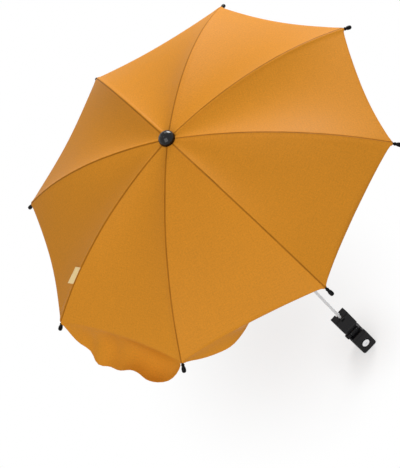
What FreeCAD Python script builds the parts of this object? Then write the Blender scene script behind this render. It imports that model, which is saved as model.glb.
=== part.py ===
import FreeCAD, Part
import math
import os

import Sketcher
from FreeCAD import Placement, Rotation, Vector

# Pram parasol: an eight-rib canopy on a thin shaft that tilts in a two-jaw tube clamp.
# Millimetres and degrees. +Z up along the shaft, origin at the middle of the clamp's tube bore,
# Y along the bore, +X towards the front jaw.

DRIVING = {
    # canopy and ribs
    "rib_count": 8,
    "first_rib_azimuth": 135,
    "canopy_radius": 360,
    "slope_crown": 2.9,
    "slope_rim": 36.9,
    "pivot_radius": 9,
    "rib_diameter": 3.2,
    "rib_tail": 8,
    "eye_radius": 2.1,
    "wire_diameter": 1.2,
    "wire_hole_diameter": 1.7,
    "rivet_diameter": 1.2,
    "rivet_hole_diameter": 1.3,
    "rivet_length": 6.2,
    # stretchers
    "link_length": 200,
    "fork_length": 18,
    "fork_bridge": 4,
    "fork_width": 5.6,
    "fork_gap": 3.6,
    "fork_height": 2.5,
    "bar_width": 2.2,
    "bar_height": 2.6,
    "open_pivot_gap": 0.9,
    # tip cups
    "cup_start": 1.6,
    "cup_length": 20,
    "cup_neck_radius": 2.0,
    "cup_waist_radius": 3.0,
    "cup_radius": 3.9,
    "cup_neck_length": 8.5,
    "cup_bore_radius": 1.75,
    "cup_bore_depth": 9,
    # cloth
    "cloth_lift": 3.1,
    "cloth_thickness": 0.8,
    "cloth_inner_radius": 13.2,
    "cloth_half_angle": 22.3,
    "gore_dip": 14,
    "dip_reach": 0.92,
    "rim_bow": 14,
    "hem_length": 1.5,
    "hem_turn": 5,
    "flap_depth": 55,
    "roll_radius": 14,
    "roll_turn": 150,
    "curved_share": 0.7,
    "loose_depth": 76,
    "loose_skew": 0.2,
    "loose_turn": 14,
    "loose_wave": 10,
    # tag
    "tag_length": 32,
    "tag_width": 9.5,
    "tag_thickness": 0.6,
    "tag_lift": 0.3,
    "tag_place": 0.745,
    # crown, washer and ferrule cap
    "crown_height": 759,
    "hub_radius": 12,
    "slot_width": 3.6,
    "slot_inner_radius": 6.5,
    "slot_outer_radius": 14.4,
    "crown_below": 6,
    "crown_above": 2.0,
    "washer_radius": 6.6,
    "washer_thickness": 1.3,
    "cap_lift": 3.6,
    "cap_radius": 15.2,
    "cap_rim_height": 4.6,
    "cap_sphere_radius": 15.5,
    "cap_dome_latitude": 12,
    "cap_nub_radius": 4.2,
    "cap_nub_foot_radius": 5.5,
    "cap_nub_height": 1.4,
    "cap_bore_depth": 6,
    # shaft
    "shaft_radius": 3.1,
    "shaft_bore_radius": 2.45,
    "shaft_bottom": 8,
    "foot_plug_radius": 2.4,
    "foot_plug_length": 22,
    "foot_eye_radius": 7,
    "foot_width": 9,
    "running_gap": 0.05,
    # runner, stop and catch
    "flange_height": 9,
    "sleeve_radius": 5.0,
    "sleeve_length": 44,
    "stop_radius": 5.0,
    "stop_height": 5,
    "stop_gap": 0.5,
    "catch_length": 15,
    "catch_reach": 3.0,
    "catch_width": 1.6,
    "catch_gap": 0.8,
    "catch_root": 2.1,
    # clamp
    "tilt": 8,
    "clamp_width": 36,
    "clamp_top": 83,
    "clamp_bottom": -42,
    "block_half": 11,
    "jaw_half": 16,
    "jaw_gap_half": 1.5,
    "pin_height": 71,
    "pin_radius": 2,
    "notch_depth": 8,
    "notch_width": 9,
    "pocket_half": 7.4,
    "pocket_width": 9.6,
    "waist_top_z": 39,
    "waist_floor_z": 29,
    "shoulder_z": 16,
    "flank_z": 31,
    "split_top_z": 12,
    "scoop_radius": 12,
    "scoop_x": 11,
    "scoop_z": 16,
    "jaw_inner_top_z": 11,
    "jaw_crest_z": 13,
    "jaw_shoulder_z": 8,
    "jaw_crest_x": 11,
    "hinge_x": 2,
    "hinge_z": 21,
    "barrel_radius": 4.2,
    "barrel_room": 4.8,
    "knuckle_half": 8.7,
    "knuckle_room_half": 9,
    "hinge_pin_radius": 1.8,
    "hinge_pin_end": 12.3,
    "boss_radius": 6,
    "boss_reach": 21,
    "boss_root": 12,
    "boss_round": 2.4,
    "pinch_radius": 24,
    "pinch_depth": 6,
    "pinch_z": 27,
    "pad_inner_radius": 11,
    "pad_seat_radius": 12.6,
    "pad_outer_radius": 12.55,
    "bolt_z": -18.5,
    "bolt_radius": 3,
    "bolt_head_radius": 8.6,
    "bolt_head_height": 4,
    "bolt_seat_gap": 0.3,
    "bolt_tail_x": -33,
    "recess_radius": 10.9,
    "recess_floor_x": 11.4,
    "jaw_hole_radius": 4.6,
    "body_hole_radius": 3.2,
    "clamp_washer_radius": 7,
    "clamp_washer_thickness": 1.2,
    "knob_core_radius": 9,
    "knob_lobe_radius": 5.5,
    "knob_lobe_offset": 10,
    "knob_lobes": 5,
    "knob_height": 12,
    "edge_round": 2.5,
    "corner_round": 5.5,
    # shared
    "part_gap": 0.3,
    "cut_over": 1,
}

doc = FreeCAD.newDocument("PramParasol")
dims = doc.addObject("Spreadsheet::Sheet", "dims")
for row, (alias, value) in enumerate(DRIVING.items(), start=1):
    dims.set(f"A{row}", alias)
    dims.set(f"B{row}", str(value))
    dims.setAlias(f"B{row}", alias)
doc.recompute()

X_AXIS = Vector(1, 0, 0)
Y_AXIS = Vector(0, 1, 0)
Z_AXIS = Vector(0, 0, 1)
ALONG_Y = Rotation(X_AXIS, -90)
ALONG_X = Rotation(Y_AXIS, 90)

sub_parts = []


def size(expression):
    """Value of an expression on the sheet's aliases."""
    return float(dims.evalExpression(bound(expression)))


def bound(expression):
    """The expression with each sheet alias written as a cell of the sheet."""
    words = []
    word = ""
    for letter in str(expression) + " ":
        if letter.isalnum() or letter == "_":
            word += letter
            continue
        words.append(f"dims.{word}" if word in DRIVING else word)
        words.append(letter)
        word = ""
    return "".join(words).strip()


def primitive(kind, name, placement=None, **sizes):
    """A Part primitive whose sizes are bound to the sheet."""
    made = doc.addObject(f"Part::{kind}", name)
    for key, expression in sizes.items():
        made.setExpression(key, bound(expression))
    if placement is not None:
        made.Placement = placement
    return made


def fuse(name, *shapes):
    """Several solids joined into one."""
    made = doc.addObject("Part::MultiFuse", name)
    made.Shapes = list(shapes)
    return made


def cut(name, base, *tools):
    """A solid with one or more others taken away."""
    made = doc.addObject("Part::Cut", name)
    made.Base = base
    made.Tool = tools[0] if len(tools) == 1 else fuse(f"{name}_tools", *tools)
    return made


def hand_over(made, label, placement):
    """Name a finished sub-part and set it in its place."""
    made.Label = label
    made.Placement = placement
    sub_parts.append(made)
    return made


def cylinder_y(name, radius, length, x=0.0, z=0.0):
    """A cylinder along Y, centred on the XZ plane."""
    place = Placement(Vector(x, -size(length) / 2, z), ALONG_Y)
    return primitive("Cylinder", name, place, Radius=radius, Height=length)


def cylinder_x(name, radius, start, length, z=0.0):
    """A cylinder along +X from a start x."""
    place = Placement(Vector(size(start), 0, z), ALONG_X)
    return primitive("Cylinder", name, place, Radius=radius, Height=length)


def ring(name, inner, outer, height, z):
    """A flat ring about Z."""
    base = Vector(0, 0, z)
    hole = primitive("Cylinder", f"{name}_hole", Placement(base, Rotation()), Radius=inner, Height=height)
    disc = primitive("Cylinder", f"{name}_disc", Placement(base, Rotation()), Radius=outer, Height=height)
    return cut(name, disc, hole)


def centred_box(name, low, high, width):
    """A box from low (x, z) to high (x, z), centred on the XZ plane across its width."""
    place = Placement(Vector(size(low[0]), -size(width) / 2, size(low[1])), Rotation())
    length = f"({high[0]}) - ({low[0]})"
    height = f"({high[1]}) - ({low[1]})"
    return primitive("Box", name, place, Length=length, Width=width, Height=height)


def origin_feature(body, role):
    """One of a body's own origin planes or axes."""
    return next(item for item in body.Origin.OriginFeatures if item.Role == role)


def new_sketch(body, name, role):
    """An empty sketch on one of the body's origin planes."""
    sketch = body.newObject("Sketcher::SketchObject", name)
    sketch.AttachmentSupport = [(origin_feature(body, role), "")]
    sketch.MapMode = "FlatFace"
    return sketch


def fix_point(sketch, geometry, position, x, y):
    """Hold one point of a sketch at bound coordinates."""
    for kind, expression in (("DistanceX", x), ("DistanceY", y)):
        rule = Sketcher.Constraint(kind, -1, 1, geometry, position, size(expression))
        index = sketch.addConstraint(rule)
        sketch.setExpression(f"Constraints[{index}]", bound(expression))


def polygon_sketch(body, name, role, corners):
    """A closed polygon whose corners are pairs of bound expressions."""
    sketch = new_sketch(body, name, role)
    points = [Vector(size(x), size(y), 0) for x, y in corners]
    count = len(points)
    for index in range(count):
        sketch.addGeometry(Part.LineSegment(points[index], points[(index + 1) % count]), False)
    for index in range(count):
        sketch.addConstraint(Sketcher.Constraint("Coincident", index, 2, (index + 1) % count, 1))
    for index, (x, y) in enumerate(corners):
        fix_point(sketch, index, 1, x, y)
    return sketch


def circle_sketch(body, name, role, *circles):
    """Circles given as bound radius, x and y."""
    sketch = new_sketch(body, name, role)
    for radius, x, y in circles:
        middle = Vector(size(x), size(y), 0)
        index = sketch.addGeometry(Part.Circle(middle, Z_AXIS, size(radius)), False)
        rule = sketch.addConstraint(Sketcher.Constraint("Radius", index, size(radius)))
        sketch.setExpression(f"Constraints[{rule}]", bound(radius))
        fix_point(sketch, index, 3, x, y)
    return sketch


def pad(body, name, sketch, length, symmetric=False):
    """A straight pad of a sketch."""
    feature = body.newObject("PartDesign::Pad", name)
    feature.Profile = sketch
    feature.setExpression("Length", bound(length))
    if symmetric:
        feature.SideType = "Symmetric"
    return feature


def round_edges(name, base, radius, wanted):
    """The solid with the wanted straight or round edges rounded."""
    doc.recompute()
    made = doc.addObject("Part::Fillet", name)
    made.Base = base
    edges = [index for index, edge in enumerate(base.Shape.Edges, start=1) if wanted(edge)]
    made.Edges = [(index, size(radius), size(radius)) for index in edges]
    return made


# Places: the clamp leans back by the rest tilt, the shaft stands upright on the tilt pin.

clamp_frame = Placement(Vector(0, 0, 0), Rotation(Y_AXIS, -size("tilt")))
pin_point = clamp_frame.multVec(Vector(0, 0, size("pin_height")))
shaft_frame = Placement(pin_point, Rotation())
crown_frame = shaft_frame.multiply(Placement(Vector(0, 0, size("crown_height")), Rotation()))

RIB_COUNT = int(size("rib_count"))
RIB_PITCH = 360 / RIB_COUNT
LOOSE_GORE = 5
TAG_RIB = 6


def rib_frame(number):
    """Place of one rib: X outward along the rib, origin on the shaft axis at the crown wire."""
    azimuth = size("first_rib_azimuth") - RIB_PITCH * (number - 1)
    return crown_frame.multiply(Placement(Vector(0, 0, 0), Rotation(Z_AXIS, azimuth)))


# The rib's line is one arc, from a gentle slope at the crown to a steeper one at the rim.

SLOPE_CROWN = math.radians(size("slope_crown"))
SLOPE_RIM = math.radians(size("slope_rim"))
ARC_RADIUS = (size("canopy_radius") - size("pivot_radius")) / (math.sin(SLOPE_RIM) - math.sin(SLOPE_CROWN))
ARC_LENGTH = ARC_RADIUS * (SLOPE_RIM - SLOPE_CROWN)


def slope_at(share):
    """Slope of the rib below level, at a share of its length from crown to rim."""
    return SLOPE_CROWN + (SLOPE_RIM - SLOPE_CROWN) * share


def rib_point(share, lift=0.0):
    """Radius and height of a point on the rib's line, or lifted square from it."""
    slope = slope_at(share)
    radius = size("pivot_radius") + ARC_RADIUS * (math.sin(slope) - math.sin(SLOPE_CROWN))
    height = ARC_RADIUS * (math.cos(slope) - math.cos(SLOPE_CROWN))
    return radius + lift * math.sin(slope), height + lift * math.cos(slope)


# The link is isosceles: the crown pivot, the rib rivet and the runner pivot, with equal sides.

LINK_SHARE = 2 * math.asin(size("link_length") / (2 * ARC_RADIUS)) / (SLOPE_RIM - SLOPE_CROWN)
RIVET_RADIUS, RIVET_HEIGHT = rib_point(LINK_SHARE)
RUNNER_DROP = 2 * RIVET_HEIGHT
RIVET_POINT = Vector(RIVET_RADIUS, 0, RIVET_HEIGHT)


def make_rib(number):
    """Curved wire rib with an eye on the crown wire and a hole for the stretcher's rivet."""
    name = f"rib_{number}"
    out = Vector(math.sin(SLOPE_CROWN), 0, math.cos(SLOPE_CROWN))
    ahead = Vector(math.cos(SLOPE_CROWN), 0, -math.sin(SLOPE_CROWN))
    middle = Vector(size("pivot_radius"), 0, 0) - out * ARC_RADIUS
    sweep = math.degrees(SLOPE_RIM - SLOPE_CROWN + size("rib_tail") / ARC_RADIUS)
    wire = primitive("Torus", f"{name}_wire", Placement(middle, Rotation(out, ahead, Y_AXIS, "XYZ")),
                     Radius1=ARC_RADIUS, Radius2="rib_diameter / 2", Angle3=sweep)
    eye = cylinder_y(f"{name}_eye", "eye_radius", "rib_diameter", size("pivot_radius"))
    wire_hole = cylinder_y(f"{name}_wire_hole", "wire_hole_diameter / 2", "fork_width", size("pivot_radius"))
    rivet_hole = cylinder_y(f"{name}_rivet_hole", "rivet_hole_diameter / 2", "fork_width",
                            RIVET_RADIUS, RIVET_HEIGHT)
    made = cut(f"{name}_cut", fuse(f"{name}_blank", wire, eye), wire_hole, rivet_hole)
    hand_over(made, name, rib_frame(number))


def make_rivet(number):
    """Rivet that joins a stretcher to its rib."""
    made = primitive("Cylinder", f"rivet_{number}", None, Radius="rivet_diameter / 2", Height="rivet_length")
    seat = Placement(RIVET_POINT - Y_AXIS * (size("rivet_length") / 2), ALONG_Y)
    hand_over(made, f"rib_rivet_{number}", rib_frame(number).multiply(seat))


def make_stretcher(number):
    """Bar from the rib's rivet to the runner, forked where it straddles the rib."""
    name = f"stretcher_{number}"
    block = centred_box(f"{name}_block", ("0", "-fork_height / 2"),
                        ("fork_length + fork_bridge", "fork_height / 2"), "fork_width")
    nose = cylinder_y(f"{name}_nose", "fork_height / 2", "fork_width")
    slot = centred_box(f"{name}_slot", ("-fork_height", "-fork_height"),
                       ("fork_length", "fork_height"), "fork_gap")
    hole = cylinder_y(f"{name}_hole", "rivet_hole_diameter / 2", "fork_width + cut_over")
    fork = cut(f"{name}_fork", fuse(f"{name}_blank", block, nose), slot, hole)
    bar = centred_box(f"{name}_bar", ("fork_length", "-bar_height / 2"),
                      ("link_length - open_pivot_gap", "bar_height / 2"), "bar_width")
    towards = Vector(size("pivot_radius"), 0, RUNNER_DROP) - RIVET_POINT
    towards.normalize()
    up = towards.cross(-Y_AXIS)
    seat = Placement(RIVET_POINT, Rotation(towards, -Y_AXIS, up, "XYZ"))
    hand_over(fuse(f"{name}_whole", fork, bar), name, rib_frame(number).multiply(seat))


def make_tip_cup(number):
    """Moulded cup pushed over the rib's end: a slim neck that swells to a round bulb."""
    name = f"cup_{number}"
    bulb_end = "cup_length - cup_radius"
    neck = primitive("Cone", f"{name}_neck", Placement(Vector(size("cup_start"), 0, 0), ALONG_X),
                     Radius1="cup_neck_radius", Radius2="cup_waist_radius", Height="cup_neck_length")
    bulb = cylinder_x(f"{name}_bulb", "cup_radius", "cup_neck_length", f"{bulb_end} - cup_neck_length")
    ball = primitive("Sphere", f"{name}_ball", Placement(Vector(size(bulb_end), 0, 0), Rotation()),
                     Radius="cup_radius")
    bore = cylinder_x(f"{name}_bore", "cup_bore_radius", "cup_start", "cup_bore_depth")
    made = cut(f"{name}_cut", fuse(f"{name}_blank", neck, bulb, ball), bore)
    radius, height = rib_point(1)
    seat = Placement(Vector(radius, 0, height), Rotation(Y_AXIS, size("slope_rim")))
    hand_over(made, f"tip_cup_{number}", rib_frame(number).multiply(seat))


def flap_at(share, loose, fold):
    """Curved length, turn and straight length of the rim flap, at a share of the way along a gore's rim."""
    bow = 4 * share * (1 - share)
    if loose:
        depth = size("loose_depth") * (1 + size("loose_skew") * (1 - 2 * share))
        length = size("hem_length") + depth * bow
        curved = size("curved_share") * length
        turn = math.radians(size("loose_turn") + size("loose_wave") * (1 if fold % 2 else -1))
    else:
        length = size("hem_length") + size("flap_depth") * bow
        turn = math.radians(size("roll_turn") if bow else size("hem_turn"))
        curved = min(size("curved_share") * length, turn * size("roll_radius") * bow) or length / 2
    return curved, turn, length - curved


def cloth_section(azimuth, share, loose, fold):
    """Closed outline of the cloth in the upright plane at an azimuth from the rib."""
    half = math.radians(RIB_PITCH / 2)
    bow = 4 * share * (1 - share)
    pull = math.cos(half) / math.cos(half - math.radians(abs(azimuth)))
    start = (size("cloth_inner_radius") - size("pivot_radius")) / ARC_LENGTH
    end = 1 - size("rim_bow") * bow / ARC_LENGTH
    direction = Vector(math.cos(math.radians(azimuth)), math.sin(math.radians(azimuth)), 0)
    curved, turn, straight = flap_at(share, loose, fold)

    def at(radius, height):
        return direction * radius + Z_AXIS * height

    def cloth_point(place, depth):
        dip = size("gore_dip") * bow ** 2 * math.sin(math.pi * size("dip_reach") * place)
        radius, height = rib_point(place, size("cloth_lift") - dip)
        slope = slope_at(place)
        return at(radius * pull - depth * math.sin(slope), height - depth * math.cos(slope))

    def flap_point(turned, depth, ahead=0.0):
        slope = slope_at(end)
        bend = curved / turn
        centre = cloth_point(end, 0) - at(math.sin(slope), math.cos(slope)) * bend
        angle = slope + turn * turned
        edge = centre + at(math.sin(angle), math.cos(angle)) * (bend - depth)
        return edge + at(math.cos(angle), -math.sin(angle)) * ahead

    thick = size("cloth_thickness")
    middle = (start + end) / 2
    edges = [
        Part.Arc(cloth_point(start, 0), cloth_point(middle, 0), cloth_point(end, 0)),
        Part.Arc(flap_point(0, 0), flap_point(0.5, 0), flap_point(1, 0)),
        Part.LineSegment(flap_point(1, 0), flap_point(1, 0, straight)),
        Part.LineSegment(flap_point(1, 0, straight), flap_point(1, thick, straight)),
        Part.LineSegment(flap_point(1, thick, straight), flap_point(1, thick)),
        Part.Arc(flap_point(1, thick), flap_point(0.5, thick), flap_point(0, thick)),
        Part.Arc(cloth_point(end, thick), cloth_point(middle, thick), cloth_point(start, thick)),
        Part.LineSegment(cloth_point(start, thick), cloth_point(start, 0)),
    ]
    return Part.Wire([edge.toShape() for edge in edges])


def make_canopy_panel(number):
    """Cloth over one rib, from the middle of one gore to the middle of the next."""
    steps = 4
    gore_before = (number - 2) % RIB_COUNT + 1
    sections = []
    for fold in range(-steps, steps + 1):
        azimuth = size("cloth_half_angle") * fold / steps
        share = abs(azimuth) / RIB_PITCH
        if fold > 0:
            sections.append(cloth_section(azimuth, 1 - share, gore_before == LOOSE_GORE, fold))
        else:
            sections.append(cloth_section(azimuth, share, number == LOOSE_GORE, fold))
    made = doc.addObject("Part::Feature", f"panel_{number}")
    made.Shape = Part.makeLoft(sections, True, True)
    hand_over(made, f"canopy_panel_{number}", rib_frame(number))


def make_label_tag():
    """Bare folded tag sewn into one seam, lying over the gore beside it."""
    slope = slope_at(size("tag_place"))
    lift = size("cloth_lift") + size("tag_lift")
    radius, height = rib_point(size("tag_place"), lift)
    along = Vector(math.cos(slope), 0, -math.sin(slope))
    half = math.radians(RIB_PITCH / 2)
    rim_chord = Vector(-math.sin(half), -math.cos(half), 0)
    up = rim_chord.cross(along).normalize()
    side = along.cross(up)
    made = primitive("Box", "tag", None, Length="tag_length", Width="tag_width", Height="tag_thickness")
    corner = Vector(radius, 0, height) - along * (size("tag_length") / 2) + side * size("tag_width")
    seat = Placement(corner, Rotation(along, -side, up, "XYZ"))
    hand_over(made, "label_tag", rib_frame(TAG_RIB).multiply(seat))


def slotted_hub(name, bottom, height):
    """Round hub on the shaft with one radial slot for each rib or stretcher."""
    body = doc.addObject("PartDesign::Body", name)
    outline = circle_sketch(body, f"{name}_outline", "XY_Plane", ("hub_radius", "0", "0"),
                            ("shaft_radius + running_gap", "0", "0"))
    blank = pad(body, f"{name}_blank", outline, height)
    slot_outline = polygon_sketch(body, f"{name}_slot_outline", "XY_Plane", [
        ("slot_inner_radius", "-slot_width / 2"),
        ("slot_outer_radius", "-slot_width / 2"),
        ("slot_outer_radius", "slot_width / 2"),
        ("slot_inner_radius", "slot_width / 2"),
    ])
    slot = body.newObject("PartDesign::Pocket", f"{name}_slot")
    slot.Profile = slot_outline
    slot.Type = "ThroughAll"
    slot.SideType = "Symmetric"
    pattern = body.newObject("PartDesign::PolarPattern", f"{name}_slots")
    pattern.Originals = [slot]
    pattern.Axis = (origin_feature(body, "Z_Axis"), [""])
    pattern.Angle = 360
    pattern.setExpression("Occurrences", bound("rib_count"))
    body.Tip = pattern
    doc.recompute()
    assert pattern.Shape.Volume < blank.Shape.Volume, f"{name}: the slots cut nothing"
    body.Placement = Placement(Vector(0, 0, bottom), Rotation())
    return body


def make_crown():
    """Top hub of the ribs, its wire, the washer over it and the cap that closes the top."""
    hub = slotted_hub("crown_hub", -size("crown_below"), "crown_below + crown_above")
    channel = primitive("Torus", "crown_channel", None, Radius1="pivot_radius",
                        Radius2="wire_diameter / 2 + running_gap")
    hand_over(cut("crown_cut", hub, channel), "crown", crown_frame)
    wire = primitive("Torus", "crown_ring", None, Radius1="pivot_radius", Radius2="wire_diameter / 2")
    hand_over(wire, "crown_wire", crown_frame)
    washer = ring("washer", "shaft_radius + running_gap", "washer_radius", "washer_thickness",
                  size("crown_above + running_gap"))
    hand_over(washer, "canopy_washer", crown_frame)
    rim = primitive("Cylinder", "cap_rim", None, Radius="cap_radius", Height="cap_rim_height")
    sink = "cap_rim_height - cap_sphere_radius * sin(cap_dome_latitude)"
    dome = primitive("Sphere", "cap_dome", Placement(Vector(0, 0, size(sink)), Rotation()),
                     Radius="cap_sphere_radius", Angle1="cap_dome_latitude")
    top = size(f"{sink} + cap_sphere_radius")
    nub = primitive("Cone", "cap_nub", Placement(Vector(0, 0, top - size("cap_nub_height")), Rotation()),
                    Radius1="cap_nub_foot_radius", Radius2="cap_nub_radius", Height="cap_nub_height * 2")
    bore = primitive("Cylinder", "cap_bore", None, Radius="shaft_radius + running_gap",
                     Height="cap_bore_depth")
    cap = cut("cap_cut", fuse("cap_blank", rim, dome, nub), bore)
    lift = Placement(Vector(0, 0, size("cap_lift")), Rotation())
    hand_over(cap, "ferrule_cap", crown_frame.multiply(lift))


def make_shaft():
    """Thin tube from the foot to the ferrule cap, and the foot that turns on the tilt pin."""
    top = "crown_height + cap_lift + cap_bore_depth - part_gap"
    bottom = Placement(Vector(0, 0, size("shaft_bottom")), Rotation())
    length = f"{top} - shaft_bottom"
    skin = primitive("Cylinder", "tube_skin", bottom, Radius="shaft_radius", Height=length)
    bore = primitive("Cylinder", "tube_bore", bottom, Radius="shaft_bore_radius", Height=length)
    window = centred_box("tube_window", ("-shaft_radius * 2", f"{CATCH_TOP} - catch_length - part_gap"),
                         ("0", f"{CATCH_TOP} + part_gap"), "catch_width + part_gap")
    hand_over(cut("tube_cut", skin, bore, window), "shaft_tube", shaft_frame)
    eye = cylinder_y("foot_eye", "foot_eye_radius", "foot_width")
    neck = primitive("Cylinder", "foot_neck", None, Radius="shaft_radius",
                     Height="shaft_bottom - running_gap")
    plug = primitive("Cylinder", "foot_plug", None, Radius="foot_plug_radius",
                     Height="shaft_bottom + foot_plug_length")
    hole = cylinder_y("foot_hole", "pin_radius + running_gap", "foot_width * 2")
    hand_over(cut("foot_cut", fuse("foot_blank", eye, neck, plug), hole), "shaft_foot", shaft_frame)


# The runner's pivot circle lies in the middle of its flange.

FLANGE_TOP = f"crown_height + ({RUNNER_DROP}) + flange_height / 2"
SLEEVE_BOTTOM = f"{FLANGE_TOP} - flange_height - sleeve_length"
CATCH_TOP = f"{SLEEVE_BOTTOM} - catch_gap"


def make_runner():
    """Sliding hub of the stretchers, with the stop above it and the spring catch below it."""
    hub = slotted_hub("runner_hub", size(f"{FLANGE_TOP} - flange_height"), "flange_height")
    sleeve = ring("sleeve", "shaft_radius + running_gap", "sleeve_radius", "sleeve_length",
                  size(SLEEVE_BOTTOM))
    hand_over(fuse("runner_whole", hub, sleeve), "runner", shaft_frame)
    stop = ring("stop", "shaft_radius + running_gap", "stop_radius", "stop_height",
                size(f"{FLANGE_TOP} + stop_gap"))
    hand_over(stop, "runner_stop", shaft_frame)
    body = doc.addObject("PartDesign::Body", "catch")
    outline = polygon_sketch(body, "catch_outline", "XZ_Plane", [
        ("-catch_root", CATCH_TOP),
        ("-shaft_radius - catch_reach", CATCH_TOP),
        ("-shaft_radius - catch_reach", f"{CATCH_TOP} - catch_reach / 2"),
        ("-catch_root", f"{CATCH_TOP} - catch_length"),
    ])
    pad(body, "catch_pad", outline, "catch_width", symmetric=True)
    hand_over(body, "catch_spring", shaft_frame)


def make_clamp_body():
    """Rear half of the clamp: the block that holds the tilt pin, running down into the rear jaw."""
    body = doc.addObject("PartDesign::Body", "block")
    outline = polygon_sketch(body, "block_outline", "XZ_Plane", [
        ("-block_half", "clamp_top"),
        ("block_half", "clamp_top"),
        ("block_half", "waist_top_z + 7"),
        ("block_half - 0.9", "waist_top_z + 2"),
        ("block_half - 3", "waist_top_z - 3"),
        ("hinge_x", "waist_floor_z"),
        ("hinge_x", "shoulder_z"),
        ("-jaw_gap_half", "split_top_z"),
        ("-jaw_gap_half", "clamp_bottom"),
        ("-jaw_half", "clamp_bottom"),
        ("-jaw_half", "shoulder_z"),
        ("-block_half", "flank_z"),
    ])
    pad(body, "block_pad", outline, "clamp_width", symmetric=True)
    cornered = round_edges("block_corners", body, "corner_round", is_side_corner)
    rounded = round_edges("block_round", cornered, "edge_round", is_outer_edge)
    barrel = cylinder_y("block_barrel", "barrel_radius", "clamp_width", size("hinge_x"), size("hinge_z"))
    room = cylinder_y("block_room", "scoop_radius", "knuckle_room_half * 2", size("scoop_x"), size("scoop_z"))
    clear = cylinder_y("block_clear", "barrel_room", "knuckle_room_half * 2",
                       size("hinge_x"), size("hinge_z"))
    hinge_hole = cylinder_y("block_hinge_hole", "hinge_pin_radius", "clamp_width * 2",
                            size("hinge_x"), size("hinge_z"))
    pin_hole = cylinder_y("block_pin_hole", "pin_radius", "clamp_width * 2", 0, size("pin_height"))
    pocket = centred_box("block_pocket", ("-pocket_half", "pin_height"),
                         ("pocket_half", "clamp_top + cut_over"), "pocket_width")
    cradle = cylinder_y("block_cradle", "pocket_half", "pocket_width", 0, size("pin_height"))
    notch = centred_box("block_notch", ("-block_half - cut_over", "clamp_top - notch_depth"),
                        ("block_half + cut_over", "clamp_top + cut_over"), "notch_width")
    seat = cylinder_y("block_seat", "pad_seat_radius", "clamp_width * 2")
    bolt_hole = cylinder_x("block_bolt_hole", "body_hole_radius", "-jaw_half * 2", "jaw_half * 2",
                           size("bolt_z"))
    waisted = cut("block_waisted", fuse("block_blank", rounded, barrel), waist_pinch(1), waist_pinch(-1))
    made = cut("block_cut", fuse("block_whole", waisted, hinge_boss()), room, clear, hinge_hole, pin_hole,
               pocket, cradle, notch, seat, bolt_hole)
    hand_over(made, "clamp_body", clamp_frame)


def waist_pinch(side):
    """Round hollow that narrows one side of the waist."""
    offset = size("clamp_width / 2 + pinch_radius - pinch_depth")
    place = Placement(Vector(-size("clamp_width"), side * offset, size("pinch_z")), ALONG_X)
    return primitive("Cylinder", f"block_pinch_{'near' if side < 0 else 'far'}", place,
                     Radius="pinch_radius", Height="clamp_width * 2")


def hinge_boss():
    """Round boss at one end of the hinge barrel."""
    place = Placement(Vector(size("hinge_x"), -size("boss_reach"), size("hinge_z")), ALONG_Y)
    blank = primitive("Cylinder", "boss_blank", place, Radius="boss_radius",
                      Height="boss_reach - boss_root")
    return round_edges("boss_rounded", blank, "boss_round", is_boss_end)


def is_boss_end(edge):
    """Whether an edge of the boss is the round one at its outer end."""
    box = edge.BoundBox
    return box.YLength < 0.1 and box.YMax < -size("boss_reach") + 0.1


def is_side_corner(edge):
    """Whether an edge of a jaw's blank is a lower corner, as seen from the front."""
    box = edge.BoundBox
    return box.YLength < 0.1 and box.ZMax < size("clamp_bottom") + 0.1


def is_outer_edge(edge):
    """Whether an edge of the clamp's blank is an outer one that a hand meets."""
    box = edge.BoundBox
    across = box.YLength > size("clamp_width") / 2
    at_end = max(abs(box.ZMax - size("clamp_top")), abs(box.ZMin - size("clamp_top"))) < 0.1
    at_foot = max(abs(box.ZMax - size("clamp_bottom")), abs(box.ZMin - size("clamp_bottom"))) < 0.1
    outside = abs(box.XMin) > size("block_half") - 1
    upright = box.ZLength > size("block_half") and abs(box.XMin) > size("block_half") - 1
    return (across and outside and (at_end or at_foot)) or upright


def make_front_jaw():
    """Front half of the lower clamp, hung on the hinge pin at the waist, with a recess for the bolt."""
    body = doc.addObject("PartDesign::Body", "jaw")
    outline = polygon_sketch(body, "jaw_outline", "XZ_Plane", [
        ("jaw_gap_half", "jaw_inner_top_z"),
        ("jaw_gap_half", "clamp_bottom"),
        ("jaw_half", "clamp_bottom"),
        ("jaw_half", "jaw_shoulder_z"),
        ("jaw_crest_x", "jaw_crest_z"),
        ("hinge_x", "jaw_crest_z"),
    ])
    pad(body, "jaw_pad", outline, "clamp_width", symmetric=True)
    cornered = round_edges("jaw_corners", body, "corner_round", is_jaw_corner)
    rounded = round_edges("jaw_round", cornered, "edge_round", is_jaw_edge)
    barrel = cylinder_y("jaw_barrel", "barrel_radius", "knuckle_half * 2", size("hinge_x"), size("hinge_z"))
    web = centred_box("jaw_web", ("hinge_x - barrel_radius / 2", "jaw_inner_top_z"),
                      ("hinge_x + barrel_radius", "hinge_z"), "knuckle_half * 2")
    hinge_hole = cylinder_y("jaw_hinge_hole", "hinge_pin_radius + running_gap", "clamp_width * 2",
                            size("hinge_x"), size("hinge_z"))
    seat = cylinder_y("jaw_seat", "pad_seat_radius", "clamp_width * 2")
    recess = cylinder_x("jaw_recess", "recess_radius", "recess_floor_x", "jaw_half", size("bolt_z"))
    hole = cylinder_x("jaw_hole", "jaw_hole_radius", "-jaw_half", "jaw_half * 2", size("bolt_z"))
    made = cut("jaw_cut", fuse("jaw_blank", rounded, barrel, web), hinge_hole, seat, recess, hole)
    hand_over(made, "front_jaw", clamp_frame)


def is_jaw_corner(edge):
    """Whether an edge of the front jaw's blank is a corner, as seen from the front."""
    box = edge.BoundBox
    on_crest = box.YLength < 0.1 and box.ZMin > size("jaw_shoulder_z") - 0.1 and box.XMax > size("hinge_x") + 1
    return on_crest or is_side_corner(edge)


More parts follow.
